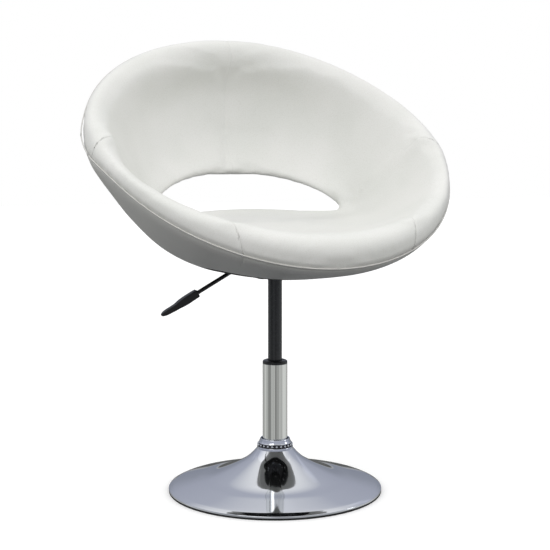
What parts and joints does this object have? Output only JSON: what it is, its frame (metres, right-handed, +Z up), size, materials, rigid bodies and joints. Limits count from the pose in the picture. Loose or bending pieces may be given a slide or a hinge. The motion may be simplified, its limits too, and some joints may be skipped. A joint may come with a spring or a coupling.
{
  "type": "swivel bucket chair",
  "caption": "Upholstered round bucket chair with an open ring back on a gas-lift swivel column and a polished trumpet base.",
  "frame": {"origin": "on the column's axis, on the floor", "axes": "+Z up along the column; the sitter faces -Y, so the lift lever, on the sitter's right, is at -X"},
  "size_m": [0.752, 0.7044, 0.9235],
  "materials": {
    "rubber_ring": "matte",
    "chrome_base": "polished",
    "chrome_column": "polished",
    "raw_steel": "satin",
    "black_plastic": "satin",
    "white_plastic": "satin",
    "black_steel": "satin",
    "ground_steel": "ground",
    "bearing_steel": "polished",
    "brass_cage": "satin",
    "zinc_steel": "zinc plated",
    "plywood": "raw",
    "moulded_shell": "matte",
    "piping": "satin",
    "white_leather": "fine grain, satin"
  },
  "bodies": {
    "base": {"floor_ring": "rubber_ring", "base_shell": "chrome_base", "base_web": "raw_steel", "taper_hub": "raw_steel", "collar": "chrome_base", "column_tube": "chrome_column", "column_cap": "black_plastic", "guide_bush": "white_plastic", "lower_race": "bearing_steel"},
    "rod": {"piston_rod": "ground_steel", "piston_head": "ground_steel", "upper_race": "bearing_steel", "bearing_cage": "brass_cage", "bearing_balls": "bearing_steel", "bumper": "rubber_ring", "rod_washer": "bearing_steel", "spring_clip": "bearing_steel"},
    "seat": {"gas_cylinder": "black_steel", "rod_guide": "black_steel", "mechanism_plate": "black_steel", "taper_socket": "black_steel", "lever_bracket": "black_steel", "pivot_pin": "ground_steel", "plate_bolts": "zinc_steel", "lock_washers": "zinc_steel", "tee_nuts": "zinc_steel", "seat_board": "plywood", "board_screws": "zinc_steel", "bucket_shell": "moulded_shell", "welt_left": "piping", "welt_right": "piping", "seat_pad": "white_leather", "side_pad_left": "white_leather", "side_pad_right": "white_leather", "back_pad_left": "white_leather", "back_pad_right": "white_leather", "seat_underpad": "white_leather", "side_underpad_left": "white_leather", "side_underpad_right": "white_leather", "back_underpad_left": "white_leather", "back_underpad_right": "white_leather"},
    "lever": {"lever_rod": "black_steel", "lever_grip": "black_plastic"},
    "pin": {"release_pin": "ground_steel"}
  },
  "joints": [
    {"name": "seat_swivel", "type": "hinge", "parent": "base", "child": "rod", "pos_m": [0, 0, 0.02], "axis": [0, 0, 1], "continuous": true},
    {"name": "gas_lift", "type": "slide", "parent": "rod", "child": "seat", "axis": [0, 0, 1], "range_m": [-0.115, 0]},
    {"name": "lever_pull", "type": "hinge", "parent": "seat", "child": "lever", "pos_m": [-0.04, 0, 0.46], "axis": [0, 1, 0], "range_deg": [0, 4], "stiffness_Nm_per_rad": 20, "springref_deg": -2.86},
    {"name": "pin_press", "type": "slide", "parent": "seat", "child": "pin", "axis": [0, 0, 1], "range_m": [-0.003, 0], "stiffness_N_per_m": 500}
  ],
  "couplings": [
    {"joint": "pin_press", "follows": "lever_pull", "m_per_rad": -0.0405}
  ]
}
